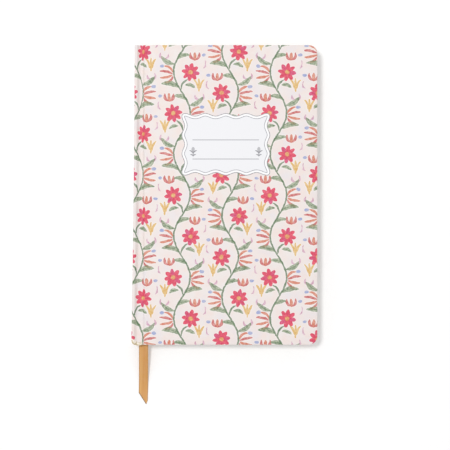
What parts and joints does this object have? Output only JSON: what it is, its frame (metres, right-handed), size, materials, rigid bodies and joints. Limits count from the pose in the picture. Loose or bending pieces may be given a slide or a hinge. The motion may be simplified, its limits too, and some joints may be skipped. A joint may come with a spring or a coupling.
{
  "type": "hardcover journal",
  "caption": "Hardcover journal with printed paper over boards, sewn signatures, endpapers, a wavy-edged label and a ribbon bookmark; covers open and leaves turn",
  "frame": {"origin": "middle of the closed book's footprint, on the surface that the back cover lies on", "axes": "+X from the spine to the fore-edge, +Y from the tail to the head, +Z out of the front cover"},
  "size_m": [0.13, 0.2537, 0.0159],
  "materials": {
    "printed_cover": "satin",
    "label": "matte",
    "greyboard": "matte",
    "endpaper": "matte",
    "page_paper": "matte",
    "gauze": "matte",
    "kraft_paper": "matte",
    "thread": "matte",
    "band": "satin",
    "ribbon": "satin"
  },
  "bodies": {
    "text_block": {"signature_01": "page_paper", "signature_02": "page_paper", "signature_03": "page_paper", "signature_04": "page_paper", "signature_05": "page_paper", "signature_06": "page_paper", "signature_07": "page_paper", "signature_08": "page_paper", "signature_09": "page_paper", "signature_10": "page_paper", "front_endpaper_fold": "endpaper", "back_endpaper_fold": "endpaper", "sewing_thread": "thread", "spine_mull": "gauze", "spine_lining": "kraft_paper", "head_band": "band", "tail_band": "band", "ribbon_tab": "ribbon", "ribbon_inside": "ribbon", "ribbon_tail": "ribbon", "spine_board": "greyboard", "spine_paper": "printed_cover"},
    "front_cover": {"front_board": "greyboard", "front_cover_paper": "printed_cover", "front_joint": "printed_cover", "front_pastedown": "endpaper", "cover_label": "label"},
    "back_cover": {"back_board": "greyboard", "back_cover_paper": "printed_cover", "back_joint": "printed_cover", "back_pastedown": "endpaper"},
    "front_flyleaf": {"front_flyleaf": "endpaper"},
    "back_flyleaf": {"back_flyleaf": "endpaper"},
    "leaf_01": {"leaf_01": "page_paper"},
    "leaf_02": {"leaf_02": "page_paper"},
    "leaf_03": {"leaf_03": "page_paper"},
    "leaf_04": {"leaf_04": "page_paper"}
  },
  "joints": [
    {"name": "front_cover_hinge", "type": "hinge", "parent": "text_block", "child": "front_cover", "pos_m": [-0.06088, 0, 0.01407], "axis": [0, -1, 0], "range_deg": [0, 179], "deforming": ["front_joint"]},
    {"name": "back_cover_hinge", "type": "hinge", "parent": "text_block", "child": "back_cover", "pos_m": [-0.06088, 0, 0.00163], "axis": [0, 1, 0], "range_deg": [0, 179], "deforming": ["back_joint"]},
    {"name": "front_flyleaf_turn", "type": "hinge", "parent": "text_block", "child": "front_flyleaf", "pos_m": [-0.05678, 0, 0.01307], "axis": [0, -1, 0], "range_deg": [0, 157.52]},
    {"name": "leaf_01_turn", "type": "hinge", "parent": "text_block", "child": "leaf_01", "pos_m": [-0.05678, 0, 0.01307], "axis": [0, -1, 0], "range_deg": [0, 132.46]},
    {"name": "leaf_02_turn", "type": "hinge", "parent": "text_block", "child": "leaf_02", "pos_m": [-0.05678, 0, 0.01307], "axis": [0, -1, 0], "range_deg": [0, 103.82]},
    {"name": "leaf_03_turn", "type": "hinge", "parent": "text_block", "child": "leaf_03", "pos_m": [-0.05678, 0, 0.01307], "axis": [0, -1, 0], "range_deg": [0, 71.6]},
    {"name": "leaf_04_turn", "type": "hinge", "parent": "text_block", "child": "leaf_04", "pos_m": [-0.05678, 0, 0.01307], "axis": [0, -1, 0], "range_deg": [0, 35.8]},
    {"name": "back_flyleaf_turn", "type": "hinge", "parent": "text_block", "child": "back_flyleaf", "pos_m": [-0.05678, 0, 0.00263], "axis": [0, 1, 0], "range_deg": [0, 157.52]}
  ],
  "couplings": [
    {"joint": "front_flyleaf_turn", "follows": "front_cover_hinge", "ratio": 0.88},
    {"joint": "leaf_01_turn", "follows": "front_cover_hinge", "ratio": 0.74},
    {"joint": "leaf_02_turn", "follows": "front_cover_hinge", "ratio": 0.58},
    {"joint": "leaf_03_turn", "follows": "front_cover_hinge", "ratio": 0.4},
    {"joint": "leaf_04_turn", "follows": "front_cover_hinge", "ratio": 0.2},
    {"joint": "back_flyleaf_turn", "follows": "back_cover_hinge", "ratio": 0.88}
  ]
}
